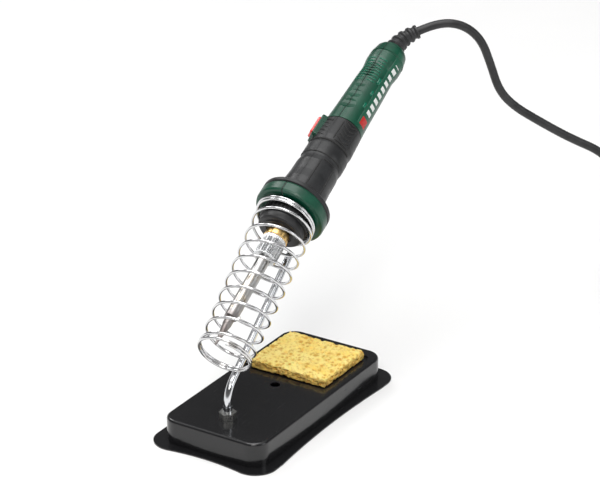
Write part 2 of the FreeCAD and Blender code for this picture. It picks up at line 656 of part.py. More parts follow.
def block(name, placement, parts, fillet=None):
    """A stack of rectangular pads: half length, half width, bottom and top of each."""
    body = new_body(name, placement)
    for half_x, half_y, low, high in parts:
        plan = new_sketch(body, "XY_Plane", lift=low)
        draw_rectangle(plan, f"-({half_x})", half_x, f"-({half_y})", half_y)
        extrude(body, "Pad", plan, f"({high}) - ({low})")
    return body


button_foot = "bezel_foot - lip_gap - lip_thick"
button = block("switch_button", KEY, [
    ("button_long / 2 + button_lip", "button_wide / 2 + button_lip", button_foot,
     "bezel_foot - lip_gap"),
    ("button_long / 2", "button_wide / 2", "bezel_foot - lip_gap", "button_top")])
dress(button, "Fillet", "1.6", lambda e: upright(e) and e.Length > 3)
dress(button, "Fillet", "1.2", level_at(num("button_top")))

bezel = block("switch_bezel", KEY, [
    ("button_long / 2 + slide_gap + bezel_rim", "button_wide / 2 + slide_gap + bezel_rim",
     "bezel_foot", "bezel_top")])
dress(bezel, "Fillet", "2.4", upright)
dress(bezel, "Fillet", "0.8", level_at(num("bezel_top")))
window = new_sketch(bezel, "XY_Plane")
draw_rectangle(window, "-(button_long / 2 + slide_gap)", "button_long / 2 + slide_gap",
               "-(button_wide / 2 + slide_gap)", "button_wide / 2 + slide_gap")
extrude(bezel, "Pocket", window, "button_top", reverse=True, through=True)

switch_top = f"{button_foot} - button_travel - lip_gap"
switch = block("microswitch", KEY, [
    ("switch_long / 2", "switch_wide / 2", f"{switch_top} - 2 - switch_tall",
     f"{switch_top} - 2")])
plunger = new_sketch(switch, "XY_Plane", lift=f"{switch_top} - 2")
draw_circle(plunger, "2.5", "0", "plunger_radius")
extrude(switch, "Pad", plunger, "2")

# ---------------------------------------------------------------- parts inside the handle

terminal = block("terminal_block", HANDLE, [
    ("block_tall / 2", "block_wide / 2", "block_at", "block_at + block_long")])
ways = new_sketch(terminal, "XY_Plane")
for y in ("-block_wide / 3", "0", "block_wide / 3"):
    draw_circle(ways, "0", y, "lead_radius + 0.6")
extrude(terminal, "Pocket", ways, "handle_long", reverse=True, through=True)


def strut(name, start, end, radius):
    run = end - start
    return primitive("Cylinder", name, Placement(start, Rotation(Vector(0, 0, 1), run)),
                     Radius=radius, Height=f"{run.Length}")


def inside(x, y, along):
    return HANDLE.multVec(Vector(x, y, along))


pole = num("block_wide / 3")
block_rear = num("block_at + block_long")
clamp_front = num("clamp_at") - 1
heater_rear = BARREL.multVec(Vector(0, 0, num("barrel_rear") - 2 + 0.2))
grouped("heater_leads", [
    strut("heater_lead", BARREL.multVec(Vector(0, y, num("barrel_rear") - 1.8)),
          inside(0, y * pole / 1.6, num("block_at") + 5), "lead_radius") for y in (-1.6, 1.6)])
grouped("mains_leads", [
    strut("neutral_lead", inside(0, pole, block_rear - 5), inside(1.2, 1.8, clamp_front),
          "lead_radius"),
    strut("earth_lead", inside(0, 0, block_rear - 5), inside(-1.6, 0, clamp_front), "lead_radius"),
    strut("live_lead", inside(0, -pole, block_rear - 5), inside(-1.2, -4.2, 60), "lead_radius"),
    strut("switched_lead", inside(-1.2, -4.2, 85), inside(1.2, -1.8, clamp_front),
          "lead_radius")])

sheath = primitive("Cylinder", "cord_tail", aimed(inside(0, 0, num("clamp_at")), handle_along),
                   Radius="cord_radius", Height="handle_long - end_wall - clamp_at - flange_thick - 0.3")
sheath.Label = "cord_tail"
PARTS.append(sheath)

clamp = new_body("cord_clamp", HANDLE)
saddle = new_sketch(clamp, "XY_Plane", lift="clamp_at + 2")
draw_rectangle(saddle, "cord_radius + contact_gap", "cord_radius + contact_gap + clamp_tall",
               "-clamp_wide / 2", "clamp_wide / 2")
extrude(clamp, "Pad", saddle, "clamp_long")
drill = new_sketch(clamp, "YZ_Plane")
for y in ("-(clamp_wide / 2 - 2.2)", "clamp_wide / 2 - 2.2"):
    draw_circle(drill, y, "clamp_at + 2 + clamp_long / 2", "screw_shank + fit_gap")
extrude(clamp, "Pocket", drill, "collar_radius", reverse=True)

clamp_screws = []
for side in (-1, 1):
    foot = Placement(Vector(num("-cord_radius - 1"), side * num("clamp_wide / 2 - 2.2"),
                            num("clamp_at + 2 + clamp_long / 2")), Rotation(Vector(0, 1, 0), 90))
    shank = primitive("Cylinder", "clamp_shank", HANDLE.multiply(foot),
                      Radius="screw_shank", Height="2 * cord_radius + 1 + clamp_tall + contact_gap")
    lift = Placement(Vector(0, 0, num("2 * cord_radius + 1 + clamp_tall + contact_gap")), Rotation())
    head = primitive("Cylinder", "clamp_head", HANDLE.multiply(foot).multiply(lift),
                     Radius="screw_head - 0.6", Height="1.2")
    whole = doc.addObject("Part::MultiFuse", "clamp_screw")
    whole.Shapes = [shank, head]
    clamp_screws.append(whole)
grouped("clamp_screws", clamp_screws)

# ---------------------------------------------------------------- strain relief and mains lead


def swept(points, sections):
    """Solid through round sections square to the path, ruled from each one to the next."""
    rings = []
    for i, (point, radius) in enumerate(zip(points, sections)):
        before, after = points[max(i - 1, 0)], points[min(i + 1, len(points) - 1)]
        rings.append(Part.Wire([Part.makeCircle(radius, point, after - before)]))
    return Part.makeLoft(rings, True, True)


exit_along = heading(-42, 20)
relief_steps = 4 * int(num("relief_rings")) + 4
step = num("relief_long + end_wall") / relief_steps
relief_path = [inside(0, 0, num("handle_long - end_wall"))]
for k in range(relief_steps):
    bent = smooth((k - 3) / (relief_steps - 3))
    relief_path.append(relief_path[-1] + (handle_along * (1 - bent) + exit_along * bent)
                       .normalize() * step)
relief_radii = []
for k in range(relief_steps + 1):
    share = max(k - 4, 0) / (relief_steps - 4)
    radius = num("relief_root") + num("relief_end - relief_root") * share
    grooved = k > 4 and (k - 4) % 4 in (1, 2) and k < relief_steps - 1
    relief_radii.append(radius - (num("relief_groove") if grooved else 0))
relief_flange = Part.makeCylinder(num("mouth_radius + 1.3"), num("flange_thick"),
                                  inside(0, 0, num("handle_long - end_wall - flange_thick - fit_gap")),
                                  handle_along)
relief_neck = Part.makeCylinder(num("relief_root"), num("flange_thick + fit_gap"),
                                inside(0, 0, num("handle_long - end_wall - flange_thick - fit_gap")),
                                handle_along)
shaped("strain_relief",
       swept(relief_path, relief_radii).fuse([relief_flange, relief_neck]).removeSplitter())

# The lead leaves the relief, arches over and hangs in one upright plane: distance along the
# plane and height of each point, from where it has turned into that plane.
lead_start = relief_path[-1]
lead_first = lead_start + exit_along * 15
plane_along = heading(-55, 0)
route = [lead_start, lead_first] + [
    Vector(lead_first.x, lead_first.y, 0) + plane_along * across + Vector(0, 0, height)
    for across, height in ((17.5, 201.5), (31.0, 190.5), (38.2, 171.8), (44.5, 152.5),
                           (55.6, 140.2), (74.0, 128.6), (96.0, 115.6), (121.0, 104.0),
                           (136.0, 84.4), (143.0, 60.4), (148.5, 38.0), (160.0, 22.6),
                           (178.0, 17.4))]


def lead_path(points):
    """Straight runs joined by tangent arcs, each as large as its two runs allow."""
    edges, at = [], points[0]
    for before, corner, after in zip(points, points[1:], points[2:]):
        back, ahead = before - corner, after - corner
        half = (math.pi - back.getAngle(ahead)) / 2
        cut = 0.45 * min(back.Length, ahead.Length)
        enter, leave = corner + back.normalize() * cut, corner + ahead.normalize() * cut
        inward = (back + ahead).normalize()
        radius = cut / math.tan(half)
        middle = corner + inward * (radius / math.cos(half) - radius)
        edges += [Part.LineSegment(at, enter).toShape(), Part.Arc(enter, middle, leave).toShape()]
        print(f"lead bend {radius:.1f} mm, {math.degrees(2 * half):.1f} degrees")
        at = leave
    edges.append(Part.LineSegment(at, points[-1]).toShape())
    return Part.Wire(edges)


lead_wire = lead_path(route)
lead_end = Part.Wire([Part.makeCircle(num("cord_radius"), route[0], route[1] - route[0])])
lead = lead_wire.makePipeShell([lead_end], True, False)
section = math.pi * num("cord_radius") ** 2
print(f"lead {lead_wire.Length:.1f} mm long, volume over section times length "
      f"{lead.Volume / (section * lead_wire.Length):.4f}")
print("lead route", [(round(p.x, 2), round(p.y, 2), round(p.z, 2)) for p in route])
shaped("power_cord", lead)

# The rest of the lead lies in a flat coil, which it enters along the upper turn.
beside = Vector(0, 0, 1).cross(plane_along)
coil_centre = Vector(route[-1].x, route[-1].y, 0) - beside * num("coil_mean")
hank = turned("cord_coil", Placement(coil_centre, Rotation()), [
    ("coil_mean - coil_band / 2 + 2.5", "0"), ("coil_mean + coil_band / 2 - 2.5", "0"),
    ("coil_mean + coil_band / 2", "2.5"), ("coil_mean + coil_band / 2", "coil_high - 2.5"),
    ("coil_mean + coil_band / 2 - 2.5", "coil_high"),
    ("coil_mean - coil_band / 2 + 2.5", "coil_high"),
    ("coil_mean - coil_band / 2", "coil_high - 2.5"), ("coil_mean - coil_band / 2", "2.5")])
print("lead coil centre", coil_centre)

# ---------------------------------------------------------------- mains plug

# The lead leaves its coil straight, and the plug lies beside the coil.
plug_leave, plug_heading = coil_centre + heading(-105, 0) * num("coil_mean"), heading(165, 0)
plug_rest = plug_leave + plug_heading * 18 + Vector(0, 0, num("plug_radius + contact_gap"))
PLUG = aimed(plug_rest, plug_heading)
print("plug", plug_rest)
turned("plug_body", PLUG, [
    ("0", "0"), ("cord_radius + 1.2", "0"), ("cord_radius + 1.7", "1"),
    ("cord_radius + 3.4", "plug_neck - 4"), ("plug_radius - 5", "plug_neck"),
    ("plug_radius - 2.6", "plug_neck + 2.4"), ("plug_radius - 2.6", "plug_neck + plug_body - 8"),
    ("plug_radius", "plug_neck + plug_body - 6"), ("plug_radius", "plug_neck + plug_body - 0.8"),
    ("plug_radius - 0.8", "plug_neck + plug_body"), ("plug_radius - 2.6", "plug_neck + plug_body"),
    ("plug_radius - 2.6", "plug_neck + plug_body - 5"), ("0", "plug_neck + plug_body - 5")])
face = turned("plug_face", PLUG, [
    ("0", "plug_neck + plug_body - 5"), ("plug_radius - 2.6 - fit_gap", "plug_neck + plug_body - 5"),
    ("plug_radius - 2.6 - fit_gap", "plug_neck + plug_body - 0.6"), ("0", "plug_neck + plug_body - 0.6")])
sockets = new_sketch(face, "XY_Plane")
for sign in ("", "-"):
    draw_circle(sockets, "0", f"{sign}pin_pitch / 2", "pin_radius")
notches = [("plug_radius - 5.8", "plug_radius"), ("-plug_radius", "-(plug_radius - 5.8)")]
extrude(face, "Pocket", sockets, "plug_neck + plug_body", reverse=True, through=True)
slots = new_sketch(face, "XY_Plane")
for low, high in notches:
    draw_rectangle(slots, low, high, "-3.1", "3.1")
extrude(face, "Pocket", slots, "plug_neck + plug_body", reverse=True, through=True)

pins, clips = [], []
for sign in (-1, 1):
    foot = Vector(0, sign * num("pin_pitch / 2"), num("plug_neck + plug_body - 5"))
    pin = primitive("Cylinder", "pin", PLUG.multiply(Placement(foot, Rotation())),
                    Radius="pin_radius", Height="pin_long + 4.4 - pin_radius")
    nose = primitive("Sphere", "pin_nose", PLUG.multiply(Placement(
        foot + Vector(0, 0, num("pin_long + 4.4 - pin_radius")), Rotation())), Radius="pin_radius")
    whole = doc.addObject("Part::MultiFuse", "plug_pin")
    whole.Shapes = [pin, nose]
    pins.append(whole)
    clips.append(primitive("Box", "earth_clip", PLUG.multiply(Placement(
        Vector(sign * num("plug_radius - 4.2") - 0.6, -2.9, num("plug_neck + plug_body - 5")),
        Rotation())), Length="1.2", Width="5.8", Height="4.9"))
grouped("plug_pins", pins)
grouped("plug_earth_clips", clips)

# ---------------------------------------------------------------- check and write

doc.recompute()
for item in doc.Objects:
    if {"Invalid", "Error"} & set(item.State):
        raise ValueError(f"{item.Label}: {item.State}")
os.makedirs("parts", exist_ok=True)
for item in PARTS:
    shape = item.Shape
    if shape.isNull() or not shape.isValid() or not shape.Solids or shape.Volume <= 0:
        raise ValueError(f"{item.Label}: no valid solid")
    shape.exportStep(f"parts/{item.Label}.step")
    print(f"{item.Label}: {len(shape.Solids)} solid(s), {shape.Volume:.1f} mm3")
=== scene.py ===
"""Looks of a soldering iron station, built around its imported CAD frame.

Sizes are in metres, in the frame's own axes: +X along the base towards the sponge, +Z up.
"""
import math

import bmesh
import bpy
from bpy.props import FloatProperty, FloatVectorProperty, IntProperty, PointerProperty
from mathutils import Matrix, Vector, noise
from mathutils.bvhtree import BVHTree


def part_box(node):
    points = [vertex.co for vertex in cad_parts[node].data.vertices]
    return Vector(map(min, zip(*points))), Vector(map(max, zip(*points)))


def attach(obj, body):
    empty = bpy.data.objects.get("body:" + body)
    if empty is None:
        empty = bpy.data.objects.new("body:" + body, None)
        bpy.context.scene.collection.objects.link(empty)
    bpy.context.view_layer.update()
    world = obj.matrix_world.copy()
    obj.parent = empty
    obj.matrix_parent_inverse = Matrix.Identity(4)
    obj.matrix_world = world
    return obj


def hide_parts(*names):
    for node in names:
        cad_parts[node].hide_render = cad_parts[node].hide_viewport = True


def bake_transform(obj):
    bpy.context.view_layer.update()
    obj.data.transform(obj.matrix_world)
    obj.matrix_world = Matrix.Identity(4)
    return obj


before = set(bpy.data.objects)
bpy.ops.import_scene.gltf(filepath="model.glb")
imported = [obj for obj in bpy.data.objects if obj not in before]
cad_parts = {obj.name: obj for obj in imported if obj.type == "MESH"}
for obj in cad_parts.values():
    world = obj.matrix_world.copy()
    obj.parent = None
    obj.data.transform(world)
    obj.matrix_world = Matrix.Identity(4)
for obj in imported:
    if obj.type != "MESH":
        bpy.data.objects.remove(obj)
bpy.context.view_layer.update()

bl_info = {
    "name": "Soldering Iron Station",
    "version": (1, 0, 0),
    "blender": (4, 5, 0),
    "location": "3D View > Sidebar > Iron Station",
    "description": "Finishes, lead, sponge and stage of a soldering iron station",
    "category": "Object",
}

MILLIMETRES = 1000.0

# Iron: the barrel lies in the coil, and the handle is bent a little to it.
COLLAR = Vector((0.03575, 0.01198, 0.12111))
HANDLE_ALONG = Vector((0.9104, 0.0557, 0.4099))
BARREL_ALONG = Vector((0.8780, 0.0537, 0.4756))
TIP = Vector((-0.0591, 0.0062, 0.0700))

# Lead: from the strain relief over a crest, down to the table and into its coil.
LEAD_ROUTE = (
    (0.20505, 0.01371, 0.19762), (0.21552, 0.00427, 0.20276), (0.22556, -0.01006, 0.2015),
    (0.2333, -0.02112, 0.1905), (0.23743, -0.02702, 0.1718), (0.24105, -0.03218, 0.1525),
    (0.24741, -0.04127, 0.1402), (0.25797, -0.05634, 0.1286), (0.27059, -0.07436, 0.1156),
    (0.28493, -0.09484, 0.104), (0.29353, -0.10713, 0.0844), (0.29754, -0.11286, 0.0604),
    (0.3007, -0.11737, 0.038), (0.3073, -0.12679, 0.0226), (0.31762, -0.14153, 0.0174),
)
COIL_CENTRE = Vector((0.288131, -0.162183, 0.0))
COIL_START = math.radians(35)
TURN_POINTS = 16
SPLINE_CUT = 1.019  # the spline runs this much inside points set 16 to a turn
# turns wound so far, radius and height of the lead's centre, in millimetres
COIL_STATIONS = (
    (0.0, 36.0, 17.4), (0.08, 39.3, 16.9), (0.15, 42.9, 14.8), (0.2, 45.1, 12.1),
    (0.25, 46.3, 9.4), (0.31, 46.8, 6.6), (0.38, 46.5, 4.5), (0.45, 45.6, 3.3),
    (1.45, 39.45, 3.15), (2.45, 33.3, 3.15), (3.2, 28.5, 3.2), (3.3, 28.2, 5.0),
    (3.4, 28.4, 7.6), (3.5, 29.2, 9.4), (4.0, 32.1, 9.4), (4.5, 35.2, 9.4),
    (5.0, 38.6, 9.4), (5.1, 39.2, 9.5), (5.17, 39.2, 9.9), (5.22, 39.1, 10.8),
    (5.28, 38.7, 13.0), (5.34, 37.8, 15.7), (5.39, 37.0, 17.8), (5.43, 37.9, 18.5),
    (5.4628, 40.22, 18.55),
)


# ---------------------------------------------------------------- shader maths

class Wire:
    """An output of a finish's nodes, on which Python's operators add Math nodes."""

    def __init__(self, finish, socket):
        self.finish, self.socket = finish, socket

    def maths(self, operation, *values):
        return self.finish.node("ShaderNodeMath", {"operation": operation},
                                dict(enumerate(values)))

    def __add__(self, other):
        return self.maths("ADD", self, other)

    def __sub__(self, other):
        return self.maths("SUBTRACT", self, other)

    def __rsub__(self, other):
        return self.maths("SUBTRACT", other, self)

    def __mul__(self, other):
        return self.maths("MULTIPLY", self, other)

    def __gt__(self, other):
        return self.maths("GREATER_THAN", self, other)

    def __lt__(self, other):
        return self.maths("LESS_THAN", self, other)

    def __abs__(self):
        return self.maths("ABSOLUTE", self)

    __radd__ = __add__
    __rmul__ = __mul__

    def between(self, low, high):
        """1 from low to high and 0 elsewhere."""
        return (self > low) * (self < high)

    def ramp(self, low, high, start=0.0, end=1.0):
        """Rises smoothly from start to end as the value goes from low to high."""
        return self.finish.node("ShaderNodeMapRange", {"interpolation_type": "SMOOTHSTEP"},
                                {0: self, 1: low, 2: high, 3: start, 4: end})

    def repeat(self, step):
        """Distance from the nearest multiple of step, from 0 to half a step."""
        return self.maths("PINGPONG", self, step / 2)


class Finish:
    """A material made of nodes around one Principled shader."""

    def __init__(self, name, color, roughness, metallic=0.0, **shader):
        self.material = bpy.data.materials.new(name)
        self.material.use_nodes = True
        self.tree = self.material.node_tree
        self.shader = self.tree.nodes["Principled BSDF"]
        self.set("Base Color", color)
        self.set("Roughness", roughness)
        self.set("Metallic", metallic)
        for socket, value in shader.items():
            self.set(socket.replace("_", " ").title().replace("Ior", "IOR"), value)
        self.place = self.node("ShaderNodeTexCoord", {}, {}, out="Object")

    def plug(self, target, value):
        if isinstance(value, Wire):
            self.tree.links.new(value.socket, target)
        elif isinstance(value, (tuple, list)) and len(value) == 3 and target.type == "RGBA":
            target.default_value = (*value, 1.0)
        else:
            target.default_value = value

    def node(self, kind, settings, sockets, out=0):
        """A node of one type: its settings first, then its sockets' values or wires."""
        made = self.tree.nodes.new(kind)
        for name, value in settings.items():
            if name == "stops":
                while len(made.color_ramp.elements) < len(value):
                    made.color_ramp.elements.new(0.5)
                for stop, (at, color) in zip(made.color_ramp.elements, value):
                    stop.position, stop.color = at, (*color, 1.0)
            else:
                setattr(made, name, value)
        for key, value in sockets.items():
            self.plug(made.inputs[key], value)
        return Wire(self, made.outputs[out])

    def set(self, socket, value):
        self.plug(self.shader.inputs[socket], value)

    def placed(self, origin=(0, 0, 0), rows=None):
        """Object coordinates in millimetres, in a frame given by its origin and axes."""
        turn = Matrix(rows) if rows else Matrix.Identity(3)
        at = turn @ (Vector(origin) * -MILLIMETRES)
        return self.node("ShaderNodeMapping", {"vector_type": "POINT"},
                         {"Vector": self.place, "Location": tuple(at),
                          "Rotation": tuple(turn.to_euler("XYZ")), "Scale": (MILLIMETRES,) * 3})

    def axes(self, vector):
        split = self.tree.nodes.new("ShaderNodeSeparateXYZ")
        self.plug(split.inputs[0], vector)
        return [Wire(self, output) for output in split.outputs]

    def grain(self, vector, scale, detail=3.0, roughness=0.55, stretch=None):
        """Cloudy noise from 0 to 1, drawn out where stretch is uneven."""
        if stretch:
            vector = self.node("ShaderNodeVectorMath", {"operation": "MULTIPLY"},
                               {0: vector, 1: stretch})
        return self.node("ShaderNodeTexNoise", {}, {"Vector": vector, "Scale": scale,
                         "Detail": detail, "Roughness": roughness})

    def cells(self, vector, scale):
        """Distance to the middle of the nearest cell of a random pattern."""
        return self.node("ShaderNodeTexVoronoi", {"feature": "F1"},
                         {"Vector": vector, "Scale": scale})

    def mixed(self, factor, first, second):
        """Colour first where factor is 0, second where it is 1."""
        mix = self.tree.nodes.new("ShaderNodeMix")
        mix.data_type = "RGBA"
        for index, value in ((0, factor), (6, first), (7, second)):
            self.plug(mix.inputs[index], value)
        return Wire(self, mix.outputs[2])

    def relief(self, height, depth, strength=1.0, after=None):
        """Bump of a height from 0 to 1, depth metres deep."""
        sockets = {"Strength": strength, "Distance": depth, "Height": height}
        if after is not None:
            sockets["Normal"] = after
        return self.node("ShaderNodeBump", {}, sockets)


# ---------------------------------------------------------------- helpers

def local_rows(along):
    """Axes of a frame that lies along a direction: along it, to its left, and its upper side."""
    along = along.normalized()
    left = Vector((0, 0, 1)).cross(along).normalized()
    return [tuple(along), tuple(left), tuple(along.cross(left))]


def paint(node, finish):
    """Gives a CAD node its finish."""
    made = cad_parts.get(node)
    if made is None:
        raise RuntimeError(f"the frame has no node {node}")
    made.data.materials.clear()
    made.data.materials.append(finish.material)


def piece(name, bm, finish, body, smooth=True):
    """Makes a bmesh an object that rides on a body."""
    mesh = bpy.data.meshes.new(name)
    bm.to_mesh(mesh)
    bm.free()
    made = bpy.data.objects.new(name, mesh)
    bpy.context.scene.collection.objects.link(made)
    mesh.materials.append(getattr(finish, "material", finish))
    if smooth:
        mesh.shade_smooth()
    if body:
        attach(made, body)
    return made


def station():
    return bpy.context.scene.iron_station


# ---------------------------------------------------------------- sizes and colours

class IronStationSettings(bpy.types.PropertyGroup):
    """Sizes and colours of the station that a user may change"""

    handle_green: FloatVectorProperty(
        name="Handle green", description="Colour of the handle's shells and collar",
        subtype="COLOR", size=3, default=(0.001, 0.052, 0.027), min=0, max=1)
    grip_black: FloatVectorProperty(
        name="Grip black", description="Colour of the soft grip",
        subtype="COLOR", size=3, default=(0.013, 0.0135, 0.0145), min=0, max=1)
    sponge_yellow: FloatVectorProperty(
        name="Sponge yellow", description="Colour of the sponge's top",
        subtype="COLOR", size=3, default=(0.98, 0.80, 0.27), min=0, max=1)
    # Colour of the sponge's sides, painted darker and more orange than the top: painted shade on the
    # sides.
    sponge_side_painted_shade: FloatVectorProperty(
        name="Sponge side", description="Colour of the sponge's cut sides",
        subtype="COLOR", size=3, default=(0.90, 0.55, 0.12), min=0, max=1)
    lead_diameter: FloatProperty(
        name="Lead diameter", description="Thickness of the mains lead",
        subtype="DISTANCE", unit="LENGTH", default=0.006, min=0.003, max=0.01, precision=4)
    lead_length: FloatProperty(
        name="Lead length", description="Length of the mains lead, coil included",
        subtype="DISTANCE", unit="LENGTH", default=1.5, min=0.5, max=3.0)
    sponge_cells: IntProperty(
        name="Sponge cells", description="Cells along the sponge's longer side",
        default=96, min=20, max=160)
    lens: FloatProperty(
        name="Lens", description="Focal length of the camera", subtype="DISTANCE_CAMERA",
        unit="CAMERA", default=144.3, min=50, max=300)


# ---------------------------------------------------------------- stage

class IRONSTATION_OT_stage(bpy.types.Operator):
    """Camera, pale floor and soft studio lights"""

    bl_idname = "scene.iron_station_stage"
    bl_label = "Stage"

    def execute(self, context):
        scene = context.scene
        camera = bpy.data.objects.new("camera", bpy.data.cameras.new("camera"))
        scene.collection.objects.link(camera)
        aim, back = Vector((0.0275, -0.0019, 0.1035)), Vector((-0.7738, -0.4848, 0.4077))
        camera.location = aim + back * 1.5522
        camera.rotation_euler = (-back).to_track_quat("-Z", "Y").to_euler()
        camera.data.lens = station().lens
        camera.data.sensor_width = 36.0
        camera.data.clip_start, camera.data.clip_end = 0.05, 60.0
        scene.camera = camera

        floor = Finish("floor_white", (0.86, 0.86, 0.86), 0.7)
        place = floor.placed()
        floor.set("Roughness", floor.grain(place, 0.02).ramp(0.2, 0.8, 0.66, 0.74))
        bm = bmesh.new()
        bmesh.ops.create_grid(bm, x_segments=4, y_segments=4, size=6.0)
        ground = piece("floor", bm, floor, None, smooth=False)

        for name, at, size, power, tint in (
            ("key", (-1.7, -0.9, 2.2), 1.0, 27, (1.0, 0.98, 0.95)),
            ("fill", (0.5, -2.6, 1.3), 1.2, 10, (0.96, 0.98, 1.0)),
            ("rim", (0.7, 2.2, 2.1), 0.9, 16, (1.0, 1.0, 1.0)),
            ("top", (0.0, 0.3, 3.0), 2.0, 42, (1.0, 1.0, 1.0)),
        ):
            light = bpy.data.lights.new(name, "AREA")
            light.shape, light.size = "SQUARE", size
            light.energy, light.color = power, tint
            lamp = bpy.data.objects.new(name, light)
            lamp.location = at
            lamp.rotation_euler = (Vector((0.05, 0, 0.1)) - Vector(at)).to_track_quat(
                "-Z", "Y").to_euler()
            scene.collection.objects.link(lamp)

        world = bpy.data.worlds.new("studio")
        scene.world = world
        world.use_nodes = True
        nodes, links = world.node_tree.nodes, world.node_tree.links
        coords = nodes.new("ShaderNodeTexCoord")
        split = nodes.new("ShaderNodeSeparateXYZ")
        ramp = nodes.new("ShaderNodeValToRGB")
        for _ in range(2):
            ramp.color_ramp.elements.new(0.5)
        for stop, (at, grey) in zip(ramp.color_ramp.elements,
                                    ((0.0, 0.85), (0.14, 0.16), (0.6, 0.07), (0.9, 1.0))):
            stop.position, stop.color = at, (grey, grey, grey, 1)
        links.new(coords.outputs["Generated"], split.inputs[0])
        links.new(split.outputs[2], ramp.inputs[0])
        links.new(ramp.outputs[0], nodes["Background"].inputs[0])
        nodes["Background"].inputs[1].default_value = 1.05
        scene.view_settings.view_transform = "Standard"
        scene.view_settings.look = "None"
        return {"FINISHED"}


# ---------------------------------------------------------------- lead and plug

def coil_station(turn):
    """Radius and height of the lead in its coil after so many turns, smoothly between stations."""
    for (low, r0, z0), (high, r1, z1) in zip(COIL_STATIONS, COIL_STATIONS[1:]):
        if turn <= high:
            share = (turn - low) / (high - low)
            return r0 + (r1 - r0) * share, z0 + (z1 - z0) * share
    return COIL_STATIONS[-1][1:]


def lead_points():
    """Points of the lead's spline: its listed route, then its coil."""
    points = [Vector(point) for point in LEAD_ROUTE]
    step = 1 / TURN_POINTS
    turns = [step * (count + 1) for count in range(int(COIL_STATIONS[-1][0] / step))]
    for turn in turns + [COIL_STATIONS[-1][0]]:
        radius, height = coil_station(turn)
        radius *= SPLINE_CUT if turn < COIL_STATIONS[-1][0] else 1.0
        angle = COIL_START - turn * 2 * math.pi
        points.append(COIL_CENTRE + Vector((math.cos(angle) * radius,
                                            math.sin(angle) * radius, height)) / MILLIMETRES)
    return points


def spline_mesh(points, thickness, smoothness):
    """Mesh of a NURBS curve through its control points: a tube, or its line if it has no thickness."""
    curve = bpy.data.curves.new("lead_line", "CURVE")
    curve.dimensions = "3D"
    spline = curve.splines.new("NURBS")
    spline.points.add(len(points) - 1)
    for made, point in zip(spline.points, points):
        made.co = (*point, 1.0)
    spline.order_u = 3
    spline.use_endpoint_u = True
    spline.resolution_u = smoothness
    curve.bevel_depth = thickness / 2
    curve.bevel_resolution = 5
    curve.use_fill_caps = thickness > 0
    holder = bpy.data.objects.new("lead_line", curve)
    bpy.context.scene.collection.objects.link(holder)
    bpy.context.view_layer.update()
    mesh = bpy.data.meshes.new_from_object(
        holder.evaluated_get(bpy.context.evaluated_depsgraph_get()))
    bpy.data.objects.remove(holder)
    return mesh


def lead_rubber(name, color):
    """Black sheath: a soft sheen, fine drag marks and a little dust."""
    made = Finish(name, color, 0.42, specular_ior_level=0.45)
    place = made.placed()
    blotch = made.grain(place, 0.09)
    fine = made.grain(place, 1.7, 4.0)
    made.set("Base Color", made.mixed(blotch.ramp(0.35, 0.7), color,
                                      tuple(min(1, channel * 1.7 + 0.003) for channel in color)))
    made.set("Roughness", blotch * 0.16 + 0.34)
    made.set("Normal", made.relief(fine, 0.00008, 0.6))
    return made


class IRONSTATION_OT_lead(bpy.types.Operator):
    """Mains lead from the strain relief to its coil and plug"""

    bl_idname = "scene.iron_station_lead"
    bl_label = "Mains lead"

    def execute(self, context):
        settings = station()
        rubber = lead_rubber("lead_rubber", (0.017, 0.017, 0.018))
        plug_rubber = lead_rubber("plug_rubber", (0.02, 0.02, 0.021))
        points = lead_points()
        line = spline_mesh(points, 0.0, 6)
        mesh = spline_mesh(points, settings.lead_diameter, 6)
        mesh.materials.clear()
        mesh.materials.append(rubber.material)
        mesh.shade_smooth()
        lead = bpy.data.objects.new("mains_lead", mesh)
        context.scene.collection.objects.link(lead)
        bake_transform(lead)
        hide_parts("power_cord", "cord_coil")

        fabric = Finish("tie_fabric", (0.03, 0.03, 0.03), 0.8)
        place = fabric.placed()
        weave = fabric.cells(place, 1.6)
        fabric.set("Normal", fabric.relief(weave, 0.0002))
        fabric.set("Base Color", fabric.mixed(weave, (0.05, 0.05, 0.05), (0.02, 0.02, 0.02)))
        bm = bmesh.new()
        angle = COIL_START - math.radians(250)
        across = Vector((math.cos(angle), math.sin(angle), 0))
        middle = COIL_CENTRE + across * 0.0372 + Vector((0, 0, 0.0072))
        half_wide, half_tall, band = 0.0132, 0.0076, 0.009
        bmesh.ops.create_circle(bm, segments=40, radius=1.0)
        bmesh.ops.scale(bm, vec=(half_wide, half_tall, 1), verts=bm.verts)
        for vertex in bm.verts:
            flat = math.hypot(vertex.co.x / half_wide, vertex.co.y / half_tall)
            square = max(abs(vertex.co.x) / half_wide, abs(vertex.co.y) / half_tall)
            vertex.co *= 0.35 / flat + 0.65 / max(square, 0.8) if square else 1.0
            vertex.co.y = max(-0.0063, min(0.0075, vertex.co.y))
        ring = list(bm.edges)
        made = bmesh.ops.extrude_edge_only(bm, edges=ring)
        bmesh.ops.translate(bm, vec=(0, 0, band),
                            verts=[v for v in made["geom"] if isinstance(v, bmesh.types.BMVert)])
        bmesh.ops.translate(bm, vec=(0, 0, -band / 2), verts=bm.verts)
        turn = Matrix((across, (0, 0, 1), across.cross(Vector((0, 0, 1))))).transposed()
        bmesh.ops.transform(bm, matrix=Matrix.Translation(middle) @ turn.to_4x4(), verts=bm.verts)
        bmesh.ops.recalc_face_normals(bm, faces=bm.faces)
        tie = piece("lead_tie", bm, fabric, "stand")
        wall = tie.modifiers.new("wall", "SOLIDIFY")
        wall.thickness, wall.offset = 0.0007, 1.0

        for node in ("plug_body", "strain_relief", "cord_tail"):
            paint(node, plug_rubber)
        return {"FINISHED"}


# ---------------------------------------------------------------- sponge

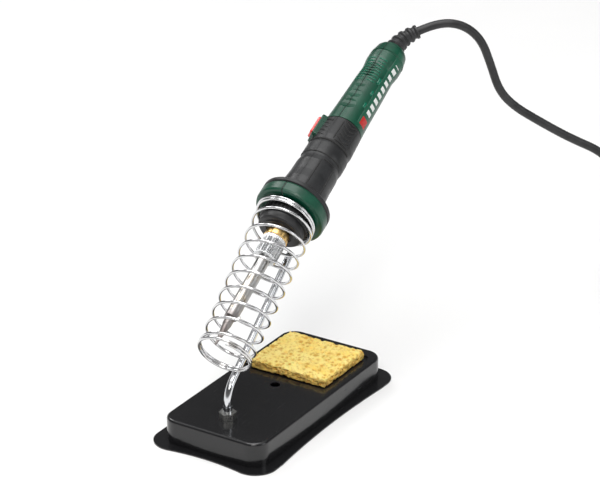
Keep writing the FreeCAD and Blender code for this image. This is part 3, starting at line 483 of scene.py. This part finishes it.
class IRONSTATION_OT_sponge(bpy.types.Operator):
    """Porous cellulose sponge in the base's seat"""

    bl_idname = "scene.iron_station_sponge"
    bl_label = "Sponge"

    def execute(self, context):
        settings = station()
        low, high = (Vector(corner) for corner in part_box("sponge"))
        size, middle = high - low, (high + low) / 2
        cells = settings.sponge_cells
        bm = bmesh.new()
        bmesh.ops.create_cube(bm, size=1.0)
        for axis, count in ((1, cells), (0, int(cells * size.x / size.y)), (2, 11)):
            along = [edge for edge in bm.edges
                     if abs((edge.verts[0].co - edge.verts[1].co)[axis]) > 1e-6
                     and (edge.verts[0].co - edge.verts[1].co).length
                     - abs((edge.verts[0].co - edge.verts[1].co)[axis]) < 1e-6]
            bmesh.ops.subdivide_edges(bm, edges=along, cuts=count - 1, use_grid_fill=True)
        bmesh.ops.scale(bm, vec=size * 0.985, verts=bm.verts)
        for vertex in bm.verts:
            at = vertex.co.copy()
            edge = [1 - abs(at[axis]) / (size[axis] * 0.4925) for axis in range(3)]
            corner = sum(1 for value in edge if value < 0.02)
            out = Vector([(1 if at[axis] > 0 else -1) if edge[axis] < 0.02 else 0
                          for axis in range(3)])
            if out.length:
                out.normalize()
            slow = noise.noise(at * 55) * 0.0008
            pore = 0.0
            for scale, deep, wide in ((260, 0.0016, 0.42), (520, 0.0007, 0.45), (150, 0.0026, 0.3)):
                near = noise.voronoi(at * scale)[0][0]
                pore = max(pore, deep * max(0.0, 1 - near / wide) ** 0.6)
            vertex.co -= out * (max(0, pore) + 0.0003 * corner - min(slow, 0.0))
            if at.z > 0:
                droop = max(0, 1 - min(edge[0], edge[1]) / 0.06)
                vertex.co.z -= 0.0008 * droop * droop
        for vertex in bm.verts:
            vertex.co.z = max(vertex.co.z, -size.z / 2)
        bmesh.ops.translate(bm, vec=middle, verts=bm.verts)
        bmesh.ops.recalc_face_normals(bm, faces=bm.faces)

        cellulose = Finish("sponge_cellulose", tuple(settings.sponge_yellow), 0.85,
                           subsurface_weight=0.12, subsurface_scale=0.002)
        place = cellulose.placed()
        _, _, height = cellulose.axes(place)
        large = cellulose.cells(place, 0.15).ramp(0.1, 0.36)
        pores = cellulose.cells(place, 0.26).ramp(0.1, 0.42) * large
        specks = cellulose.cells(place, 0.52).ramp(0.1, 0.45)
        blotch = cellulose.grain(place, 0.07, 4.0).ramp(0.35, 0.65)
        # From just under the top edge down, the sponge is painted towards the darker side colour:
        # painted shade on the sides.
        side = height.ramp(high.z * MILLIMETRES - 0.9, high.z * MILLIMETRES - 2.2)
        top = cellulose.mixed(blotch, tuple(settings.sponge_yellow), (0.94, 0.70, 0.18))
        body = cellulose.mixed(side * 0.7, top, tuple(settings.sponge_side_painted_shade))
        # Pore centres are painted dark orange-brown: painted shade in the pores.
        deep = cellulose.mixed(1 - pores * (specks * 0.5 + 0.5), body, (0.66, 0.38, 0.06))
        cellulose.set("Base Color", deep)
        cellulose.set("Normal", cellulose.relief(pores * specks, 0.0006, 0.7))
        sponge = piece("sponge_pad", bm, cellulose, "sponge")
        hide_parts("sponge")
        return {"FINISHED"}


# ---------------------------------------------------------------- base and rod

def bright_metal(name, color, roughness, streak_along=None, stretch=(0.15, 6.0, 6.0), depth=0.000004):
    """Metal with fine drawing or turning lines and thin smudges."""
    made = Finish(name, color, roughness, 1.0)
    place = made.placed(rows=local_rows(streak_along) if streak_along else None)
    streaks = made.grain(place, 1.2, 2.0, stretch=stretch)
    smudge = made.grain(place, 0.11, 3.0)
    made.set("Roughness", streaks * (roughness * 0.6) + smudge * (roughness * 0.9)
             + roughness * 0.35)
    made.set("Base Color", made.mixed(smudge.ramp(0.42, 0.75) * 0.35, color,
                                      tuple(channel * 0.72 for channel in color)))
    made.set("Normal", made.relief(streaks, depth, 0.5))
    return made


class IRONSTATION_OT_base(bpy.types.Operator):
    """Gloss black enamel of the pressed base"""

    bl_idname = "scene.iron_station_base"
    bl_label = "Base"

    def execute(self, context):
        enamel = Finish("tray_enamel", (0.012, 0.012, 0.013), 0.2, coat_weight=0.25,
                        coat_roughness=0.08, specular_ior_level=0.42)
        place = enamel.placed()
        peel = enamel.grain(place, 0.28, 2.0)
        dust = enamel.grain(place, 0.045, 5.0, 0.7)
        specks = enamel.cells(place, 0.6).ramp(0.03, 0.09, 1.0, 0.0)
        scuffs = enamel.grain(place, 0.5, 2.0, stretch=(0.12, 3.0, 1.0)).ramp(0.66, 0.76)
        enamel.set("Base Color", enamel.mixed((specks * 0.35 + scuffs * 0.08) * dust,
                                              (0.011, 0.011, 0.012), (0.23, 0.23, 0.22)))
        enamel.set("Roughness", dust * 0.16 + scuffs * 0.12 + 0.1)
        enamel.set("Normal", enamel.relief(peel, 0.00022, 0.35))
        paint("base_tray", enamel)
        return {"FINISHED"}


class IRONSTATION_OT_rod(bpy.types.Operator):
    """Chromed holder rod, its nuts and washer, and the coil holder"""

    bl_idname = "scene.iron_station_rod"
    bl_label = "Rod and coil holder"

    def execute(self, context):
        paint("stand_rod", bright_metal("rod_chrome", (0.72, 0.73, 0.75), 0.1,
                                        Vector((0.84, 0.1, 0.53))))
        zinc = bright_metal("fastener_zinc", (0.66, 0.66, 0.64), 0.26, None, (3, 3, 3))
        for node in ("rod_top_nut", "rod_lock_nut", "rod_washer", "tip_set_screw",
                     "handle_screws", "clamp_screws"):
            paint(node, zinc)
        wire = bright_metal("spring_wire", (0.74, 0.74, 0.75), 0.12, None, (2.0, 2.0, 2.0))
        place = wire.placed()
        x, _, z = wire.axes(place)
        heat = (x * 0.85 + z * 0.5).ramp(-22.0, 8.0, 1.0, 0.0)
        smudge = wire.grain(place, 0.13).ramp(0.4, 0.7)
        wire.set("Base Color", wire.mixed(heat * smudge * 0.35, (0.74, 0.74, 0.75),
                                          (0.62, 0.54, 0.42)))
        paint("holder_spring", wire)
        return {"FINISHED"}


# ---------------------------------------------------------------- iron

class IRONSTATION_OT_barrel(bpy.types.Operator):
    """Tip, barrel, nut, ferrule and heat-proof ring"""

    bl_idname = "scene.iron_station_barrel"
    bl_label = "Tip and barrel"

    def execute(self, context):
        rows = local_rows(BARREL_ALONG)
        for node, name, color, roughness in (
            ("soldering_tip", "tip_plate", (0.40, 0.39, 0.38), 0.3),
            ("barrel_tube", "barrel_steel", (0.46, 0.455, 0.45), 0.22),
        ):
            steel = Finish(name, color, roughness, 1.0)
            place = steel.placed(TIP, rows)
            along, _, _ = steel.axes(place)
            rings = steel.grain(place, 1.0, 2.0, stretch=(5.0, 0.2, 0.2))
            smudge = steel.grain(place, 0.14, 4.0)
            hot = along.ramp(60.0, 5.0) * smudge.ramp(0.3, 0.62)
            straw = along.ramp(95.0, 30.0) * smudge.ramp(0.5, 0.3)
            tint = steel.mixed(straw * 0.5, color, (0.60, 0.47, 0.30))
            steel.set("Base Color", steel.mixed(hot * 0.75, tint, (0.20, 0.16, 0.15)))
            steel.set("Roughness", smudge * 0.3 + rings * 0.1 + roughness - 0.12)
            steel.set("Normal", steel.relief(rings, 0.00005, 0.5))
            paint(node, steel)
        knurl = Finish("knurled_aluminium", (0.80, 0.81, 0.82), 0.24, 1.0)
        place = knurl.placed(TIP, rows)
        along, left, upper = knurl.axes(place)
        lines = knurl.grain(place, 1.0, 2.0, stretch=(6.0, 0.3, 0.3))
        smudge = knurl.grain(place, 0.2, 3.0)
        around = knurl.node("ShaderNodeMath", {"operation": "ARCTAN2"}, {0: left, 1: upper})
        knurled = along.between(72.0, 84.6)
        teeth = (around * (180 / math.pi)).repeat(7.5).ramp(0.4, 3.4) * knurled
        knurl.set("Roughness", smudge * 0.2 + lines * 0.1 + 0.12)
        knurl.set("Normal", knurl.relief(teeth, 0.0004, 0.9,
                                         knurl.relief(lines, 0.00003, 0.6)))
        shade = knurl.mixed(smudge.ramp(0.4, 0.7) * 0.3, (0.70, 0.71, 0.72), (0.5, 0.5, 0.5))
        # The grooves between the knurl's teeth are painted dark grey: painted shade in the grooves.
        knurl.set("Base Color", knurl.mixed((1 - teeth) * knurled * 0.75, shade,
                                            (0.16, 0.16, 0.16)))
        paint("barrel_nut", knurl)
        paint("brass_ferrule", bright_metal("ferrule_brass", (0.78, 0.52, 0.20), 0.2,
                                            BARREL_ALONG, (5.0, 0.3, 0.3)))
        ring = lead_rubber("ring_phenolic", (0.016, 0.016, 0.017))
        paint("insulating_ring", ring)
        ceramic = lead_rubber("heater_ceramic", (0.80, 0.78, 0.72))
        paint("heater_element", ceramic)
        return {"FINISHED"}


def handle_axes(finish):
    """Place, distance along the handle, angle round it from its upper side to the right, radius."""
    place = finish.placed(COLLAR, local_rows(HANDLE_ALONG))
    along, left, upper = finish.axes(place)
    angle = finish.node("ShaderNodeMath", {"operation": "ARCTAN2"},
                        {0: left * -1, 1: upper}) * (180 / math.pi)
    radius = finish.node("ShaderNodeMath", {"operation": "SQRT"},
                         {0: left * left + upper * upper})
    return place, along, angle, radius


class IRONSTATION_OT_handle(bpy.types.Operator):
    """Green shells, black grip and red button of the handle"""

    bl_idname = "scene.iron_station_handle"
    bl_label = "Handle"

    def execute(self, context):
        settings = station()
        tone = tuple(settings.handle_green)
        green = Finish("handle_green", tone, 0.33, specular_ior_level=0.5)
        place, along, angle, radius = handle_axes(green)
        fine = green.grain(place, 1.4, 2.0)
        wear = green.grain(place, 0.08, 4.0)
        panel = angle.ramp(54.4, 56.0) * angle.ramp(98.0, 96.4) * along.between(86.0, 157.0)
        bars = ((along - 96.0).repeat(6.0) > 1.25) * along.between(96.0, 146.0) \
            * angle.between(66.0, 88.0)
        badge = along.between(86.5, 93.5) * angle.between(62.0, 92.0)
        base = green.mixed(wear.ramp(0.35, 0.7), tone, tuple(c * 1.35 + 0.002 for c in tone))
        # The flat side panel is painted lighter green: a painted highlight on the facet.
        base = green.mixed(panel, base, tuple(c * 1.7 + 0.004 for c in tone))
        base = green.mixed(bars, base, (0.80, 0.82, 0.80))
        base = green.mixed(abs(angle) < 0.8, base, (0.0, 0.008, 0.004))
        green.set("Base Color", green.mixed(badge, base, (0.50, 0.012, 0.01)))
        green.set("Roughness", fine * 0.12 + wear * 0.14 + panel * 0.06 + 0.2)
        seam = abs(angle).ramp(0.7, 1.6) * (radius > 5.0)
        rough = green.relief(fine, 0.00006, 0.5)
        raised = green.relief(panel * 0.5, 0.0008, 0.8, rough)
        green.set("Normal", green.relief(seam, 0.0007, 0.9, raised))
        for node in ("handle_shell_left", "handle_shell_right"):
            paint(node, green)
        bezel = Finish("bezel_green", tone, 0.3)
        place = bezel.placed()
        bezel.set("Roughness", bezel.grain(place, 0.5).ramp(0.3, 0.7, 0.24, 0.36))
        bezel.set("Normal", bezel.relief(bezel.grain(place, 1.4, 2.0), 0.00006, 0.5))
        paint("switch_bezel", bezel)

        tone = tuple(settings.grip_black)
        grip = Finish("grip_black", tone, 0.5, specular_ior_level=0.4)
        place, along, angle, radius = handle_axes(grip)
        skin = grip.grain(place, 2.2, 3.0)
        wear = grip.grain(place, 0.07, 3.0)
        band = along.between(18.0, 43.5)
        hoops = (abs(along - 46.5) < 0.6) + (abs(along - 60.2) < 0.6)
        seam = abs(angle) < 1.0
        grip.set("Base Color", grip.mixed(wear.ramp(0.35, 0.7), tone,
                                          tuple(c * 1.6 + 0.004 for c in tone)))
        groove = hoops.maths("MAXIMUM", hoops, seam)
        grip.set("Roughness", skin * 0.12 + wear * 0.1 + 0.3 - band * 0.06)
        fine_bump = grip.relief(skin, 0.00005, 0.6)
        grip.set("Normal", grip.relief(1 - groove, 0.0009, 0.9, fine_bump))
        for node in ("grip_left", "grip_right"):
            paint(node, grip)

        # Faint red emission and patches of brighter red on the button: a painted glow.
        lens = Finish("button_red", (0.72, 0.012, 0.01), 0.18, coat_weight=0.6,
                      coat_roughness=0.05, emission_strength=0.12)
        place = lens.placed()
        painted_glow = lens.grain(place, 0.22, 2.0)
        lens.set("Base Color", lens.mixed(painted_glow, (0.60, 0.008, 0.008), (0.85, 0.03, 0.02)))
        lens.set("Emission Color", lens.mixed(painted_glow, (0.5, 0.0, 0.0), (0.9, 0.02, 0.0)))
        lens.set("Roughness", painted_glow * 0.1 + 0.12)
        paint("switch_button", lens)
        return {"FINISHED"}


def handle_skin(*nodes):
    """Search tree of the outer surfaces of CAD nodes."""
    corners, faces = [], []
    for node in nodes:
        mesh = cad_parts[node].data
        start = len(corners)
        corners += [vertex.co.copy() for vertex in mesh.vertices]
        faces += [[start + index for index in face.vertices] for face in mesh.polygons]
    return BVHTree.FromPolygons(corners, faces)


HANDLE_MIDDLE_RADIUS = 14.5  # at which a rib's width and run are measured, in millimetres
RIB_ROOT = 0.25              # how far a rib's edges sink into the handle, in millimetres


def handle_rib(bm, skin, start, end, wide, tall, steps=10):
    """A rounded rib over the handle, between two places given by distance and angle."""
    along, left, upper = (Vector(row) for row in local_rows(HANDLE_ALONG))
    made = bmesh.ops.create_grid(bm, x_segments=steps, y_segments=4, size=1.0)
    turn = math.radians(end[1] - start[1])
    run = Vector((end[0] - start[0], turn * HANDLE_MIDDLE_RADIUS))
    across = Vector((-run.y, run.x)).normalized() * wide / 2
    for vertex in made["verts"]:
        share, side = (vertex.co.x + 1) / 2, vertex.co.y
        distance = start[0] + run.x * share + across.x * side
        shift = (run.y * share + across.y * side) / HANDLE_MIDDLE_RADIUS
        angle = math.radians(start[1]) + shift
        out = upper * math.cos(angle) - left * math.sin(angle)
        axis = COLLAR + along * distance / MILLIMETRES
        hit = skin.ray_cast(axis + out * 0.04, -out, 0.04)[0]
        surface = (hit - axis).length if hit else 0.013
        ends = min(1.0, min(share, 1 - share) * steps / 1.4)
        crown = (1 - abs(side) ** 2.5) * ends
        vertex.co = axis + out * (surface + (crown * (tall + RIB_ROOT) - RIB_ROOT) / MILLIMETRES)


class IRONSTATION_OT_relief(bpy.types.Operator):
    """Raised ribs of the handle's rear part and the leaf and frame relief of its grip"""

    bl_idname = "scene.iron_station_relief"
    bl_label = "Handle relief"

    def add(self, name, nodes, ribs, finish, slot):
        bm = bmesh.new()
        skin = handle_skin(*nodes)
        for rib in ribs:
            handle_rib(bm, skin, *rib)
        bmesh.ops.recalc_face_normals(bm, faces=bm.faces)
        made = piece(name, bm, bpy.data.materials[finish], "iron")
        wall = made.modifiers.new("wall", "SOLIDIFY")
        wall.thickness, wall.offset = 0.0004, -1.0

    def execute(self, context):
        green = ("handle_shell_left", "handle_shell_right")
        black = ("grip_left", "grip_right")
        ribs = [((121.5 + 2.7 * count, -46), (121.5 + 2.7 * count, -5), 1.5, 0.55)
                for count in range(9)]
        ribs += [((121.5 + 2.7 * count, 5), (121.5 + 2.7 * count, 38), 1.5, 0.55)
                 for count in range(9)]
        ribs += [((at, 43.0), (at, 53.5), 6.0, 0.5) for at in (101.0, 113.0, 125.0)]
        self.add("handle_ribs", green, ribs, "handle_green", "handle_green")
        leaves = []
        for count in range(5):
            low = 63.0 + 3.6 * count
            leaves += [((low, 48.0), (low + 2.6, 27.0), 1.5, 0.5),
                       ((low, 48.0), (low + 2.6, 69.0), 1.5, 0.5),
                       ((low, -8.0), (low + 2.6, -36.0), 1.2, 0.4)]
        frames = []
        for low, high, first, last in ((17.5, 43.5, 26.0, 70.0), (62.0, 80.5, 22.0, 74.0)):
            frames += [((low, first), (high, first), 1.3, 0.5, 16),
                       ((low, last), (high, last), 1.3, 0.5, 16),
                       ((low, first), (low, last), 1.3, 0.5, 12),
                       ((high, first), (high, last), 1.3, 0.5, 12)]
        hoops = [((at, -70.0), (at, 90.0), 1.2, 0.4, 30) for at in (47.6, 59.6)]
        self.add("grip_relief", black, leaves + frames + hoops, "grip_black", "grip_black")
        return {"FINISHED"}


class IRONSTATION_OT_inside(bpy.types.Operator):
    """Finishes of the plug's metal and of the parts inside the handle"""

    bl_idname = "scene.iron_station_inside"
    bl_label = "Plug metal and inner parts"

    def execute(self, context):
        moulded = lead_rubber("moulded_black", (0.03, 0.03, 0.032))
        for node in ("plug_face", "microswitch", "cord_clamp"):
            paint(node, moulded)
        nickel = bright_metal("plug_nickel", (0.70, 0.69, 0.66), 0.16)
        for node in ("plug_pins", "plug_earth_clips"):
            paint(node, nickel)
        paint("terminal_block", lead_rubber("block_nylon", (0.72, 0.72, 0.70)))
        wires = lead_rubber("wire_insulation", (0.20, 0.11, 0.07))
        for node in ("heater_leads", "mains_leads"):
            paint(node, wires)
        return {"FINISHED"}


# ---------------------------------------------------------------- panel and main

class IRONSTATION_PT_pieces(bpy.types.Panel):
    """Lists the station's settings and pieces"""

    bl_idname = "IRONSTATION_PT_pieces"
    bl_label = "Soldering Iron Station"
    bl_space_type = "VIEW_3D"
    bl_region_type = "UI"
    bl_category = "Iron Station"

    def draw(self, context):
        settings = context.scene.iron_station
        for name in IronStationSettings.__annotations__:
            self.layout.prop(settings, name)
        for operator in OPERATORS:
            self.layout.operator(operator.bl_idname)


OPERATORS = (
    IRONSTATION_OT_stage,
    IRONSTATION_OT_lead,
    IRONSTATION_OT_sponge,
    IRONSTATION_OT_base,
    IRONSTATION_OT_rod,
    IRONSTATION_OT_barrel,
    IRONSTATION_OT_handle,
    IRONSTATION_OT_relief,
    IRONSTATION_OT_inside,
)
CLASSES = (IronStationSettings, *OPERATORS, IRONSTATION_PT_pieces)


def register():
    for cls in CLASSES:
        bpy.utils.register_class(cls)
    bpy.types.Scene.iron_station = PointerProperty(type=IronStationSettings)


def unregister():
    del bpy.types.Scene.iron_station
    for cls in reversed(CLASSES):
        bpy.utils.unregister_class(cls)


def main():
    register()
    scene = bpy.ops.scene
    scene.iron_station_stage()
    scene.iron_station_lead()
    scene.iron_station_sponge()
    scene.iron_station_base()
    scene.iron_station_rod()
    scene.iron_station_barrel()
    scene.iron_station_handle()
    scene.iron_station_relief()
    scene.iron_station_inside()


if __name__ == "__main__":
    main()
